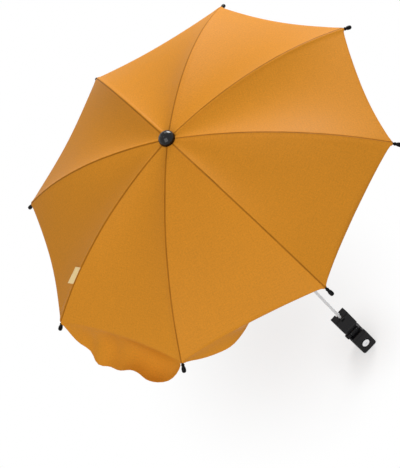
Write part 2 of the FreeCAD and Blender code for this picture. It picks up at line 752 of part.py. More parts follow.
def is_jaw_edge(edge):
    """Whether an edge of the front jaw's blank is on its outer face or its shoulder."""
    box = edge.BoundBox
    on_face = box.XMin > size("jaw_half") - 0.1 and (box.YLength > 1 or box.ZLength > 1)
    on_shoulder = box.ZMin > size("jaw_shoulder_z") - 0.1 and box.XMax > size("hinge_x") + 1
    return on_face or on_shoulder


def make_pad(label, side):
    """Rubber lining of one jaw's saddle: half a ring, kept back from the split between the jaws."""
    shell = cut(f"{label}_shell",
                cylinder_y(f"{label}_outer", "pad_outer_radius", "clamp_width - 2"),
                cylinder_y(f"{label}_inner", "pad_inner_radius", "clamp_width"))
    edge = "jaw_gap_half + part_gap"
    low, high = (edge, "jaw_half") if side > 0 else ("-jaw_half", f"-({edge})")
    half = centred_box(f"{label}_half", (low, "-jaw_half"), (high, "jaw_half"), "clamp_width")
    made = doc.addObject("Part::Common", f"{label}_common")
    made.Base = shell
    made.Tool = half
    hand_over(made, label, clamp_frame)


def make_pins():
    """Tilt pin of the shaft and hinge pin of the front jaw."""
    pin = cylinder_y("pin", "pin_radius - running_gap / 2", "clamp_width - cut_over", 0, size("pin_height"))
    hand_over(pin, "tilt_pin", clamp_frame.multiply(pin.Placement))
    place = Placement(Vector(size("hinge_x"), size("part_gap - boss_reach"), size("hinge_z")), ALONG_Y)
    hinge = primitive("Cylinder", "hinge", place, Radius="hinge_pin_radius - running_gap / 2",
                      Height="boss_reach - part_gap + hinge_pin_end")
    hand_over(hinge, "jaw_hinge_pin", clamp_frame.multiply(hinge.Placement))


def make_bolt():
    """Socket-head bolt that draws the jaws together."""
    level = size("bolt_z")
    head_start = "recess_floor_x + bolt_seat_gap"
    shank = cylinder_x("bolt_shank", "bolt_radius", "bolt_tail_x", f"{head_start} - bolt_tail_x", level)
    head = cylinder_x("bolt_head", "bolt_head_radius", head_start, "bolt_head_height", level)
    socket_start = size(f"{head_start} + bolt_head_height / 3")
    socket = primitive("Prism", "bolt_socket", Placement(Vector(socket_start, 0, level), ALONG_X),
                       Circumradius="bolt_radius", Height="bolt_head_height")
    hand_over(cut("bolt_cut", fuse("bolt_blank", shank, head), socket), "clamp_bolt", clamp_frame)


def make_washer_and_knob():
    """Washer behind the rear jaw and the lobed knob that turns on the bolt."""
    level = size("bolt_z")
    back = "-jaw_half - part_gap - clamp_washer_thickness"
    disc = cylinder_x("clamp_disc", "clamp_washer_radius", back, "clamp_washer_thickness", level)
    hole = cylinder_x("clamp_disc_hole", "body_hole_radius", back, "clamp_washer_thickness", level)
    hand_over(cut("clamp_disc_cut", disc, hole), "clamp_washer", clamp_frame)
    body = doc.addObject("PartDesign::Body", "knob")
    core = circle_sketch(body, "knob_core", "YZ_Plane", ("knob_core_radius", "0", "0"))
    pad(body, "knob_core_pad", core, "knob_height")
    lobe_outline = circle_sketch(body, "knob_lobe", "YZ_Plane", ("knob_lobe_radius", "0", "knob_lobe_offset"))
    lobe = pad(body, "knob_lobe_pad", lobe_outline, "knob_height")
    lobes = body.newObject("PartDesign::PolarPattern", "knob_lobes")
    lobes.Originals = [lobe]
    lobes.Axis = (origin_feature(body, "X_Axis"), [""])
    lobes.Angle = 360
    lobes.setExpression("Occurrences", bound("knob_lobes"))
    body.Tip = lobes
    knob_back = f"{back} - part_gap - knob_height"
    body.Placement = Placement(Vector(size(knob_back), 0, level), Rotation())
    bore = cylinder_x("knob_bore", "bolt_radius + running_gap", f"{knob_back} - cut_over",
                      "knob_height + cut_over * 2", level)
    hand_over(cut("knob_cut", body, bore), "clamp_knob", clamp_frame)


def check_and_export():
    """Stop on any failed object, then write each sub-part's solid."""
    doc.recompute()
    failed = [item.Name for item in doc.Objects if "Invalid" in item.State or "Error" in item.State]
    assert not failed, f"failed objects: {failed}"
    for made in sub_parts:
        assert not made.Shape.isNull(), f"{made.Label}: empty"
        assert made.Shape.isValid(), f"{made.Label}: not valid"
        assert len(made.Shape.Solids) == 1, f"{made.Label}: {len(made.Shape.Solids)} solids"
    os.makedirs("parts", exist_ok=True)
    for made in sub_parts:
        made.Shape.exportStep(f"parts/{made.Label}.step")
    print(f"{len(sub_parts)} sub-parts")


make_clamp_body()
make_front_jaw()
make_pad("rear_pad", -1)
make_pad("front_pad", 1)
make_pins()
make_bolt()
make_washer_and_knob()
make_shaft()
make_crown()
make_runner()
for rib in range(1, RIB_COUNT + 1):
    make_rib(rib)
    make_rivet(rib)
    make_stretcher(rib)
    make_tip_cup(rib)
    make_canopy_panel(rib)
make_label_tag()
check_and_export()
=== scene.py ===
"""Looks of the pram parasol: the sewn canopy, its fittings, the clamp and a plain studio."""

import logging
import math
from collections.abc import Sequence
from dataclasses import dataclass
from enum import Enum

import bpy
import numpy as np
from mathutils import Matrix, Vector

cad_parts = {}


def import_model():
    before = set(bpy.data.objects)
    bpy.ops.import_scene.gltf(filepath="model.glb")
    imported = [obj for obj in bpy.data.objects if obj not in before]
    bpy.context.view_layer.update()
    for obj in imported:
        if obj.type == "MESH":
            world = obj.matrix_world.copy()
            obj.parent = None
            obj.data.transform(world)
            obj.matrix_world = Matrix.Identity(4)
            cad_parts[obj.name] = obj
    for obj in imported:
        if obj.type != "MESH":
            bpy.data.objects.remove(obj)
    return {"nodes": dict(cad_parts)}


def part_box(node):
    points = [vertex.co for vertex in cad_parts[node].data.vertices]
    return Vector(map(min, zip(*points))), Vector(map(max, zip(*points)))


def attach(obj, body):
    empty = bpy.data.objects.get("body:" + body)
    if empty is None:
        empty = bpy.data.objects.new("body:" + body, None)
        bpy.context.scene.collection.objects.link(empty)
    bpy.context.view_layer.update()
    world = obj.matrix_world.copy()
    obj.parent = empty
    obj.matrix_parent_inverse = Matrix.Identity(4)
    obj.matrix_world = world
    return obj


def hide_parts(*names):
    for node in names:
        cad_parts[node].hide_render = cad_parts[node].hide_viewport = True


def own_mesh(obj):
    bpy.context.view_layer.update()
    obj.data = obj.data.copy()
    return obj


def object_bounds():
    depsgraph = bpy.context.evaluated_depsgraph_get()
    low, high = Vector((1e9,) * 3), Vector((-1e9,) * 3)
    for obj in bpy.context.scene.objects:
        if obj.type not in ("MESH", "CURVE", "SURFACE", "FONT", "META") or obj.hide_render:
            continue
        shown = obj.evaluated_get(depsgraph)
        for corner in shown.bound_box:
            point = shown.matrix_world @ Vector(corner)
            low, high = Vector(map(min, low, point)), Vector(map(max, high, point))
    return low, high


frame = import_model()
CAD_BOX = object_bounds()
LOG = logging.getLogger("parasol")

MM = 0.001
RIB_COUNT = 8
RIBS = range(1, RIB_COUNT + 1)
RIB_PITCH = math.radians(360 / RIB_COUNT)
FIRST_RIB_AZIMUTH = math.radians(135)
SHORTEST_VECTOR = 1e-12

Pairs = tuple[tuple[float, float], ...]
Numbers = float | np.ndarray


# Shader building


class Wire:
    """A node's output that takes part in arithmetic."""

    def __init__(self, paint: "Paint", socket: bpy.types.NodeSocket | None) -> None:
        """Wrap an output of one of a paint's nodes, or none for a node without outputs."""
        self.paint = paint
        self.socket = socket

    def _math(self, operation: str, first: "Wire | float", second: "Wire | float" = 0.0) -> "Wire":
        """The output of one Math node."""
        return self.paint.node("ShaderNodeMath", {"operation": operation}, Value=first, Value_001=second)

    def __add__(self, other: "Wire | float") -> "Wire":
        """This plus another."""
        return self._math("ADD", self, other)

    def __radd__(self, other: float) -> "Wire":
        """Another plus this."""
        return self._math("ADD", other, self)

    def __sub__(self, other: "Wire | float") -> "Wire":
        """This minus another."""
        return self._math("SUBTRACT", self, other)

    def __rsub__(self, other: float) -> "Wire":
        """Another minus this."""
        return self._math("SUBTRACT", other, self)

    def __mul__(self, other: "Wire | float") -> "Wire":
        """This times another."""
        return self._math("MULTIPLY", self, other)

    def __rmul__(self, other: float) -> "Wire":
        """Another times this."""
        return self._math("MULTIPLY", other, self)

    def sine(self) -> "Wire":
        """Sine of this, in radians."""
        return self._math("SINE", self)

    def falls_from(self, start: float, end: float) -> "Wire":
        """A smooth fall from one at start to nought at end.

        Args:
            start: The value that gives one.
            end: The value that gives nought.

        Returns:
            The eased share.
        """
        settings = {"interpolation_type": "SMOOTHSTEP"}
        values = {"From_Min": start, "From_Max": end, "To_Min": 1.0, "To_Max": 0.0}
        return self.paint.node("ShaderNodeMapRange", settings, Value=self, **values)


@dataclass(frozen=True)
class Colour:
    """A colour in display values from 0 to 255."""

    red: float
    green: float
    blue: float

    @staticmethod
    def _light(shown: float) -> float:
        """Scene light of one display value, by the sRGB curve."""
        share = shown / 255
        return share / 12.92 if share <= 0.04045 else ((share + 0.055) / 1.055) ** 2.4

    def linear(self) -> tuple[float, float, float, float]:
        """Scene-linear red, green, blue and alpha."""
        return self._light(self.red), self._light(self.green), self._light(self.blue), 1.0

    def scaled(self, factor: float) -> "Colour":
        """The same colour, lighter or darker."""
        return Colour(self.red * factor, self.green * factor, self.blue * factor)


class Paint:
    """One node tree, a material's or a world's, and the means to build it."""

    def __init__(self, name: str, world: bool = False) -> None:
        """Start an empty node tree.

        Args:
            name: The name of its material or world.
            world: Whether it is a world's.
        """
        self.owner = bpy.data.worlds.new(name) if world else bpy.data.materials.new(name)
        self.owner.use_nodes = True
        self.tree = self.owner.node_tree
        self.tree.nodes.clear()

    @staticmethod
    def socket(sockets: bpy.types.bpy_prop_collection, key: str) -> bpy.types.NodeSocket:
        """Find a socket by its identifier or its name.

        Args:
            sockets: A node's inputs or outputs.
            key: The identifier, or the name with underscores for spaces.

        Returns:
            The socket.
        """
        for socket in sockets:
            if key == socket.identifier:
                return socket
        return next(socket for socket in sockets if key == socket.name.replace(" ", "_"))

    def node(self, kind: str, settings: dict[str, object] | None = None, output: str = "",
             **values: object) -> Wire:
        """Make any node.

        Args:
            kind: The node's type.
            settings: The node's own settings, which are set first.
            output: The output that is wanted, or the first one.
            **values: A value or a wire for each socket that is named.

        Returns:
            The wanted output.
        """
        made = self.tree.nodes.new(kind)
        for key, value in (settings or {}).items():
            setattr(made, key, value)
        for key, value in values.items():
            entry = self.socket(made.inputs, key)
            if isinstance(value, Wire):
                self.tree.links.new(value.socket, entry)
            else:
                entry.default_value = value.linear() if isinstance(value, Colour) else value
        return Wire(self, self.socket(made.outputs, output) if output else next(iter(made.outputs), None))

    def place(self) -> Wire:
        """Coordinates in the object's own metres."""
        return self.node("ShaderNodeTexCoord", output="Object")

    def flat_cut(self) -> Wire:
        """Coordinates on a cloth's flat cut, in metres."""
        return self.node("ShaderNodeUVMap", {"uv_map": "cut"}, output="UV")

    def part(self, vector: Wire, axis: str) -> Wire:
        """One coordinate of a vector."""
        return self.node("ShaderNodeSeparateXYZ", output=axis, Vector=vector)

    def attribute(self, name: str) -> Wire:
        """A value that the mesh carries."""
        return self.node("ShaderNodeAttribute", {"attribute_name": name}, output="Fac")

    def noise(self, scale: float, detail: float = 3.0, at: Wire | None = None,
              roughness: float = 0.55) -> Wire:
        """Noise about one half, by its cells to the metre, its octaves and their share of roughness."""
        values = {"Scale": scale, "Detail": detail, "Roughness": roughness}
        return self.node("ShaderNodeTexNoise", output="Fac", Vector=at or self.place(), **values)

    def drawn_noise(self, cells: Sequence[float], detail: float, at: Wire | None = None,
                    roughness: float = 0.55) -> Wire:
        """Noise with its own number of cells to the metre along each axis."""
        stretched = self.node("ShaderNodeVectorMath", {"operation": "MULTIPLY"}, Vector=at or self.place(),
                              Vector_001=tuple(cells))
        return self.noise(1.0, detail, stretched, roughness)

    def blend(self, share: Wire, low: Wire | Colour, high: Wire | Colour) -> Wire:
        """A mix of two colours, by the share of the second one."""
        return self.node("ShaderNodeMix", {"data_type": "RGBA"}, "Result_Color",
                         Factor_Float=share, A_Color=low, B_Color=high)

    def shaded(self, share: Wire, colour: Colour, shades: tuple[float, float]) -> Wire:
        """A colour that runs from a first shade of itself to a second one."""
        return self.blend(share, colour.scaled(shades[0]), colour.scaled(shades[1]))

    def bump(self, height: Wire, depth: float, strength: float) -> Wire:
        """A bumped normal, where a height of one stands for a depth in metres."""
        return self.node("ShaderNodeBump", Height=height, Distance=depth, Strength=strength)

    def close(self, **values: object) -> bpy.types.Material:
        """Finish the material with one surface shader, given a value or a wire for its sockets."""
        return self.finish(self.node("ShaderNodeBsdfPrincipled", **values))

    def finish(self, surface: Wire,
               output: str = "ShaderNodeOutputMaterial") -> bpy.types.Material | bpy.types.World:
        """Link a shader to an output node and give the material or the world."""
        self.node(output, Surface=surface)
        return self.owner


# Finishes


@dataclass(frozen=True)
class WovenCloth:
    """Plain woven cloth with a slight satin sheen, with painted shade darkening the grooves of its seams.
    """

    colour: Colour = Colour(220, 144, 43)
    shades: tuple[float, float] = (0.8, 1.18)
    # painted shade: colour and share of the darkening painted along each seam's groove
    groove_shade_colour: Colour = Colour(136, 74, 6)
    groove_shade_share: float = 0.75
    groove_millimetres: float = 2.4
    thread: float = 0.9 * MM
    weave_depth: float = 0.12 * MM
    yarn_cells: tuple[float, float] = (900, 40)
    cloud_cells: float = 9
    fleck_cells: float = 340
    roughness: float = 0.5
    specular: float = 0.06
    sheen: float = 0.01
    sheen_roughness: float = 0.35
    sheen_colour: Colour = Colour(255, 206, 128)

    def material(self) -> bpy.types.Material:
        """Build the cloth's material."""
        paint = Paint("canopy_cloth")
        cut = paint.flat_cut()
        turn = math.pi / self.thread
        weave = (paint.part(cut, "X") * turn).sine() * (paint.part(cut, "Y") * turn).sine() * 0.5 + 0.5
        fine, coarse = self.yarn_cells
        warp = paint.drawn_noise((fine, coarse, 1), 2.0, cut)
        weft = paint.drawn_noise((coarse, fine, 1), 2.0, cut)
        cloud = paint.noise(self.cloud_cells, 4.0, cut)
        fleck = paint.noise(self.fleck_cells, 2.0, cut, 0.7)
        tone = (warp + weft) * 0.2 + cloud * 0.1 + fleck * 0.5
        # painted shade: the cloth darkens towards a deep brown within a few millimetres of each seam
        groove = paint.attribute("seam").falls_from(0.0, self.groove_millimetres)
        cloth = paint.shaded(tone, self.colour, self.shades)
        height = weave * 0.6 + (warp + weft) * 0.2
        return paint.close(
            Base_Color=paint.blend(groove * self.groove_shade_share, cloth, self.groove_shade_colour),
            Roughness=self.roughness + (cloud - 0.5) * 0.12 + (warp - 0.5) * 0.1,
            Normal=paint.bump(height, self.weave_depth, 0.5),
            Specular_IOR_Level=self.specular,
            Sheen_Weight=self.sheen,
            Sheen_Roughness=self.sheen_roughness,
            Sheen_Tint=self.sheen_colour,
        )


@dataclass(frozen=True)
class Thread:
    """Sewing thread, a little paler than the cloth."""

    colour: Colour = Colour(222, 156, 66)
    shades: tuple[float, float] = (0.86, 1.08)
    twist_cells: float = 2600
    roughness: float = 0.45
    sheen: float = 0.3

    def material(self) -> bpy.types.Material:
        """Build the thread's material."""
        paint = Paint("canopy_thread")
        twist = paint.noise(self.twist_cells, 2.0)
        return paint.close(
            Base_Color=paint.shaded(twist, self.colour, self.shades),
            Roughness=self.roughness + twist * 0.2,
            Sheen_Weight=self.sheen,
        )


@dataclass(frozen=True)
class TagRibbon:
    """Bare cream ribbon with fine ribs."""

    colour: Colour = Colour(255, 224, 160)
    shades: tuple[float, float] = (0.95, 1.0)
    rib: float = 0.55 * MM
    rib_depth: float = 0.08 * MM
    cloud_cells: float = 160
    roughness: float = 0.42
    sheen: float = 0.25

    def material(self) -> bpy.types.Material:
        """Build the ribbon's material."""
        paint = Paint("tag_ribbon")
        cut = paint.flat_cut()
        ribs = (paint.part(cut, "X") * (2 * math.pi / self.rib)).sine() * 0.5 + 0.5
        cloud = paint.noise(self.cloud_cells, 3.0, cut)
        return paint.close(
            Base_Color=paint.shaded(cloud * 0.7 + ribs * 0.2, self.colour, self.shades),
            Roughness=self.roughness + cloud * 0.16,
            Normal=paint.bump(ribs, self.rib_depth, 0.6),
            Sheen_Weight=self.sheen,
        )


@dataclass(frozen=True)
class Plastic:
    """Moulded plastic, glossy or with a fine grain, and a little worn."""

    name: str
    colour: Colour
    roughness: float
    grain_cells: float
    grain_depth: float
    specular: float
    shades: tuple[float, float] = (1.0, 1.5)
    cloud_cells: float = 45
    scuff_cells: tuple[float, float, float] = (420, 420, 60)
    scuff_range: tuple[float, float] = (0.78, 0.62)

    def material(self) -> bpy.types.Material:
        """Build the plastic's material."""
        paint = Paint(self.name)
        grain = paint.noise(self.grain_cells, 3.0)
        cloud = paint.noise(self.cloud_cells, 4.0)
        worn = paint.drawn_noise(self.scuff_cells, 4.0, roughness=0.7).falls_from(*self.scuff_range)
        return paint.close(
            Base_Color=paint.shaded(cloud * 0.5 + worn * 0.25, self.colour, self.shades),
            Roughness=self.roughness + (cloud - 0.5) * 0.14 - worn * 0.06 * self.roughness,
            Normal=paint.bump(grain, self.grain_depth, 0.7),
            Specular_IOR_Level=self.specular,
        )


@dataclass(frozen=True)
class Metal:
    """Plated steel with fine drawing lines along one axis."""

    name: str
    colour: Colour
    roughness: float
    line_cells: tuple[float, float, float]
    line_depth: float = 0.02 * MM
    shades: tuple[float, float] = (0.86, 1.06)
    cloud_cells: float = 60

    def material(self) -> bpy.types.Material:
        """Build the metal's material."""
        paint = Paint(self.name)
        drawn = paint.drawn_noise(self.line_cells, 3.0)
        cloud = paint.noise(self.cloud_cells, 4.0)
        return paint.close(
            Base_Color=paint.shaded(cloud * 0.6 + drawn * 0.4, self.colour, self.shades),
            Metallic=1.0,
            Roughness=self.roughness + (drawn - 0.5) * 0.16 + (cloud - 0.5) * 0.08,
            Normal=paint.bump(drawn, self.line_depth, 0.5),
        )


@dataclass(frozen=True)
class TubeCoat:
    """Pale satin coat on the shaft."""

    colour: Colour = Colour(240, 242, 244)
    shades: tuple[float, float] = (0.95, 1.0)
    peel_cells: float = 900
    peel_depth: float = 0.015 * MM
    cloud_cells: tuple[float, float, float] = (90, 90, 14)
    roughness: float = 0.3
    coat: float = 0.4
    coat_roughness: float = 0.15

    def material(self) -> bpy.types.Material:
        """Build the coat's material."""
        paint = Paint("shaft_coat")
        peel = paint.noise(self.peel_cells, 2.0)
        cloud = paint.drawn_noise(self.cloud_cells, 4.0)
        return paint.close(
            Base_Color=paint.shaded(cloud, self.colour, self.shades),
            Roughness=self.roughness + cloud * 0.12,
            Normal=paint.bump(peel, self.peel_depth, 0.5),
            Coat_Weight=self.coat,
            Coat_Roughness=self.coat_roughness,
        )


@dataclass(frozen=True)
class PadRubber:
    """Matt rubber with a pebbled skin."""

    colour: Colour = Colour(46, 46, 47)
    shades: tuple[float, float] = (0.85, 1.2)
    pebble_cells: float = 1500
    pebble_depth: float = 0.06 * MM
    cloud_cells: float = 110
    roughness: float = 0.78

    def material(self) -> bpy.types.Material:
        """Build the rubber's material."""
        paint = Paint("pad_rubber")
        pebble = paint.noise(self.pebble_cells, 3.0)
        cloud = paint.noise(self.cloud_cells, 3.0)
        return paint.close(
            Base_Color=paint.shaded(cloud, self.colour, self.shades),
            Roughness=self.roughness + (pebble - 0.5) * 0.2,
            Normal=paint.bump(pebble, self.pebble_depth, 0.7),
        )


class Finish(Enum):
    """The finishes of the object, named as its material slots are."""

    CANOPY_CLOTH = WovenCloth()
    TAG_CLOTH = TagRibbon()
    GLOSS_BLACK = Plastic("gloss_black", Colour(9, 9, 11), roughness=0.07, grain_cells=700,
                          grain_depth=0.01 * MM, specular=0.28)
    CLAMP_PLASTIC = Plastic("clamp_plastic", Colour(14, 13, 15), roughness=0.42, grain_cells=1900,
                            grain_depth=0.05 * MM, specular=0.16)
    HUB_PLASTIC = Plastic("hub_plastic", Colour(24, 24, 26), roughness=0.4, grain_cells=1500,
                          grain_depth=0.03 * MM, specular=0.3)
    BRIGHT_STEEL = Metal("bright_steel", Colour(240, 240, 242), roughness=0.26, line_cells=(600, 90, 600))
    RIB_STEEL = Metal("rib_steel", Colour(176, 177, 180), roughness=0.34, line_cells=(500, 500, 90))
    SPRING_STEEL = Metal("spring_steel", Colour(160, 162, 168), roughness=0.3, line_cells=(700, 700, 60))
    SHAFT_COAT = TubeCoat()
    PAD_RUBBER = PadRubber()

    @property
    def slot(self) -> str:
        """The record's slot of this finish."""
        return self.name.lower()


class Finishes:
    """Makes each finish's material once."""

    def __init__(self) -> None:
        """Start with nothing made."""
        self._made: dict[Finish, bpy.types.Material] = {}

    def of(self, finish: Finish) -> bpy.types.Material:
        """The material of a finish.

        Args:
            finish: The finish.

        Returns:
            Its material, made when it is first asked for.
        """
        if finish not in self._made:
            self._made[finish] = finish.value.material()
        return self._made[finish]


# Meshes


def azimuth_of(rib: int) -> float:
    """Azimuth of a rib about the shaft, in radians."""
    return FIRST_RIB_AZIMUTH - RIB_PITCH * (rib - 1)


def before(rib: int) -> int:
    """The rib or gore before this one."""
    return (rib - 2) % RIB_COUNT + 1


def middle_of(node: str) -> Vector:
    """The middle of a frame node's box."""
    low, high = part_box(node)
    return (low + high) / 2


def unit(vectors: np.ndarray) -> np.ndarray:
    """Vectors along the last axis, made one long."""
    return vectors / np.maximum(np.linalg.norm(vectors, axis=-1, keepdims=True), SHORTEST_VECTOR)


def run_along(line: np.ndarray) -> np.ndarray:
    """Length from the start of a line to each of its points."""
    return np.concatenate([[0], np.cumsum(np.linalg.norm(np.diff(line, axis=0), axis=1))])


def eased(share: Numbers) -> Numbers:
    """A share from 0 to 1, flat at both ends."""
    kept = np.clip(share, 0, 1)
    return kept * kept * (3 - 2 * kept)


def bow(across: Numbers) -> Numbers:
    """One halfway between two ribs, and nought at each of them."""
    return np.clip(4 * across * (1 - across), 0, 1)


def through(stations: Pairs, place: float) -> float:
    """A smooth line through a few stations.

    Args:
        stations: Pairs of place and value, in order.
        place: Where the line is wanted.

    Returns:
        The value there.
    """
    knots, values = np.array(stations).T
    slopes = np.gradient(values, knots)
    index = int(np.clip(np.searchsorted(knots, place, side="right") - 1, 0, len(knots) - 2))
    span = knots[index + 1] - knots[index]
    share = (np.clip(place, knots[0], knots[-1]) - knots[index]) / span
    rise = values[index + 1] - values[index]
    first = slopes[index] * span - rise
    second = slopes[index + 1] * span - rise
    bend = share * (1 - share) * (first * (1 - share) - second * share)
    return float(values[index] + rise * share + bend)


def new_piece(name: str, points: np.ndarray, faces: Sequence[Sequence[int]],
              material: bpy.types.Material, smooth: bool = True) -> bpy.types.Object:
    """Make a mesh piece.

    Args:
        name: The piece's name.
        points: Its vertices in the row frame.
        faces: Its faces, as runs of vertex numbers.
        material: Its finish.
        smooth: Whether its faces are shaded smooth.

    Returns:
        The piece.
    """
    mesh = bpy.data.meshes.new(name)
    mesh.from_pydata(np.asarray(points, float).reshape(-1, 3).tolist(), [], [list(face) for face in faces])
    mesh.materials.append(material)
    mesh.polygons.foreach_set("use_smooth", [smooth] * len(mesh.polygons))
    mesh.update()
    piece = bpy.data.objects.new(name, mesh)
    bpy.context.scene.collection.objects.link(piece)
    return piece


def face_corners(grid: np.ndarray, turned: bool = False) -> np.ndarray:
    """What a grid holds at the four corners of every face.

    Args:
        grid: A number or a place for each column and row.
        turned: Whether the faces look the other way.

    Returns:
        Four corners for each face.
    """
    second, fourth = grid[:-1, 1:], grid[1:, :-1]
    if turned:
        second, fourth = fourth, second
    return np.stack([grid[:-1, :-1], second, grid[1:, 1:], fourth], 2)


def new_cloth(name: str, points: np.ndarray, cut: np.ndarray, material: bpy.types.Material,
              thickness: float, offset: float, turned: bool = False) -> bpy.types.Object:
    """Make a piece of cloth from a grid.

    Args:
        name: The piece's name.
        points: A place for each column and row, in the row frame.
        cut: Places on the flat cut of every face's corners, in metres.
        material: Its finish.
        thickness: How thick the cloth is.
        offset: Where the thickness lies: below the grid at -1, on both sides of it at 0.
        turned: Whether the faces look the other way.

    Returns:
        The piece.
    """
    columns, rows = points.shape[:2]
    number = np.arange(columns * rows).reshape(columns, rows)
    piece = new_piece(name, points, face_corners(number, turned).reshape(-1, 4), material)
    layer = piece.data.uv_layers.new(name="cut")
    layer.data.foreach_set("uv", cut.reshape(-1).astype(np.float32))
    body = piece.modifiers.new("thickness", "SOLIDIFY")
    body.thickness = thickness
    body.offset = offset
    return piece


def lathe(name: str, profile: Pairs, seat: Matrix, material: bpy.types.Material,
          sides: int) -> bpy.types.Object:
    """Turn a closed profile about its axis.

    Args:
        name: The piece's name.
        profile: Pairs of radius and height, from the bottom round to the top.
        seat: Where the axis' foot stands, with the axis along Z.
        material: Its finish.
        sides: Sides of the round.

    Returns:
        The piece.
    """
    points: list[Vector] = []
    rings: list[list[int]] = []
    for radius, height in profile:
        count = sides if radius > 0 else 1
        rings.append(list(range(len(points), len(points) + count)))
        for side in range(count):
            angle = 2 * math.pi * side / sides
            points.append(seat @ Vector((radius * math.cos(angle), radius * math.sin(angle), height)))
    faces: list[list[int]] = []
    for low, high in zip(rings, rings[1:]):
        for side in range(sides):
            following = side + 1
            corners = [low[side % len(low)], low[following % len(low)],
                       high[following % len(high)], high[side % len(high)]]
            faces.append(list(dict.fromkeys(corners)))
    return new_piece(name, np.array([tuple(point) for point in points]), faces, material)


def rounded_profile(corners: Pairs, cuts: int = 2, cut_share: float = 0.25) -> Pairs:
    """A profile with its inner corners cut round.

    Args:
        corners: Pairs of radius and height.
        cuts: How many times over the corners are cut.
        cut_share: Share of each side that a cut takes from either end.

    Returns:
        The rounded profile.
    """
    line = [np.array(corner) for corner in corners]
    for _ in range(cuts):
        sides = zip(line, line[1:])
        shares = (cut_share, 1 - cut_share)
        inner = [first * (1 - share) + second * share for first, second in sides for share in shares]
        line = [line[0], *inner, line[-1]]
    return tuple((float(radius), float(height)) for radius, height in line)


@dataclass
class SubAssembly:
    """A group of pieces that is built and hung on the frame."""

    finishes: Finishes

    def build(self) -> None:
        """Make the pieces."""
        raise NotImplementedError

    def hang(self, piece: bpy.types.Object, body: str, finish: Finish, *nodes: str) -> None:
        """Let a piece ride on a body and stand for nodes.

        Args:
            piece: The piece.
            body: The body that it moves with.
            finish: Not used.
            *nodes: The nodes that it stands for.
        """
        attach(piece, body)
        if nodes:
            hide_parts(*nodes)
        LOG.info("%s rides on %s", piece.name, body)

    def dress(self, finish: Finish, *nodes: str) -> None:
        """Give frame nodes a finish.

        Args:
            finish: The finish.
            *nodes: The nodes' names.
        """
        for name in nodes:
            node = frame["nodes"][name]
            node.data.materials.clear()
            node.data.materials.append(self.finishes.of(finish))
            node.data.polygons.foreach_set("material_index", [0] * len(node.data.polygons))
            LOG.info("%s has %s", name, finish.slot)


# Canopy


@dataclass(frozen=True)
class RibArc:
    """The line of a rib: one arc, from a gentle slope at the crown to a steeper one at the rim."""

    pivot_radius: float = 9 * MM
    tip_radius: float = 360 * MM
    crown_slope: float = math.radians(2.9)
    rim_slope: float = math.radians(36.9)

    @property
    def bend(self) -> float:
        """Radius of the arc."""
        reach = self.tip_radius - self.pivot_radius
        return reach / (math.sin(self.rim_slope) - math.sin(self.crown_slope))

    @property
    def length(self) -> float:
        """Length of the arc from the crown to the rim."""
        return self.bend * (self.rim_slope - self.crown_slope)

    def slope(self, share: np.ndarray) -> np.ndarray:
        """Slope below level at a share of the length."""
        return self.crown_slope + (self.rim_slope - self.crown_slope) * share

    def at(self, share: np.ndarray, lift: float = 0.0) -> tuple[np.ndarray, np.ndarray]:
        """Radius from the shaft and height from the crown wire.

        Args:
            share: Share of the length from the crown.
            lift: Distance square from the line, outward.

        Returns:
            The radius and the height.
        """
        slope = self.slope(share)
        radius = self.pivot_radius + self.bend * (np.sin(slope) - math.sin(self.crown_slope))
        height = self.bend * (np.cos(slope) - math.cos(self.crown_slope))
        return radius + lift * np.sin(slope), height + lift * np.cos(slope)


@dataclass(frozen=True)
class Flap:
    """How one gore's rim flap hangs, along its rim from 0 at its own rib to 1 at the next.

    The flap leaves the rim along the cloth, turns down over a first length and eases to a last turn at the
    hem. Its depths are in millimetres and its turns in degrees below the cloth.
    """

    depths: Pairs
    turns: Pairs
    last_turns: Pairs
    roll_radius: float
    hem: float = 1.5 * MM
    rib_hold: float = 0.12
    rib_roll: float = 0.02
    least_first: float = 0.06
    most_first: float = 0.72

    def line(self, place: float, steps: int) -> tuple[float, np.ndarray]:
        """The flap's section at a place along the rim.

        Args:
            place: Place along the rim, from 0 to 1.
            steps: How many steps the flap has.

        Returns:
            The flap's length, and its angle below the cloth at the middle of each step.
        """
        depth = self.hem + max(0.0, through(self.depths, place)) * MM
        turn = math.radians(through(self.turns, place))
        last = math.radians(through(self.last_turns, place))
        roll = turn * self.roll_radius * min(1.0, bow(place) + self.rib_roll)
        first = max(self.least_first * depth, min(self.most_first * depth, roll))
        middle = (np.arange(steps) + 0.5) / steps * depth
        down = turn * np.clip(middle / first, 0, 1)
        late = (last - turn) * eased((middle - first) / (depth - first))
        return depth, (down + late) * eased(bow(place) / self.rib_hold)


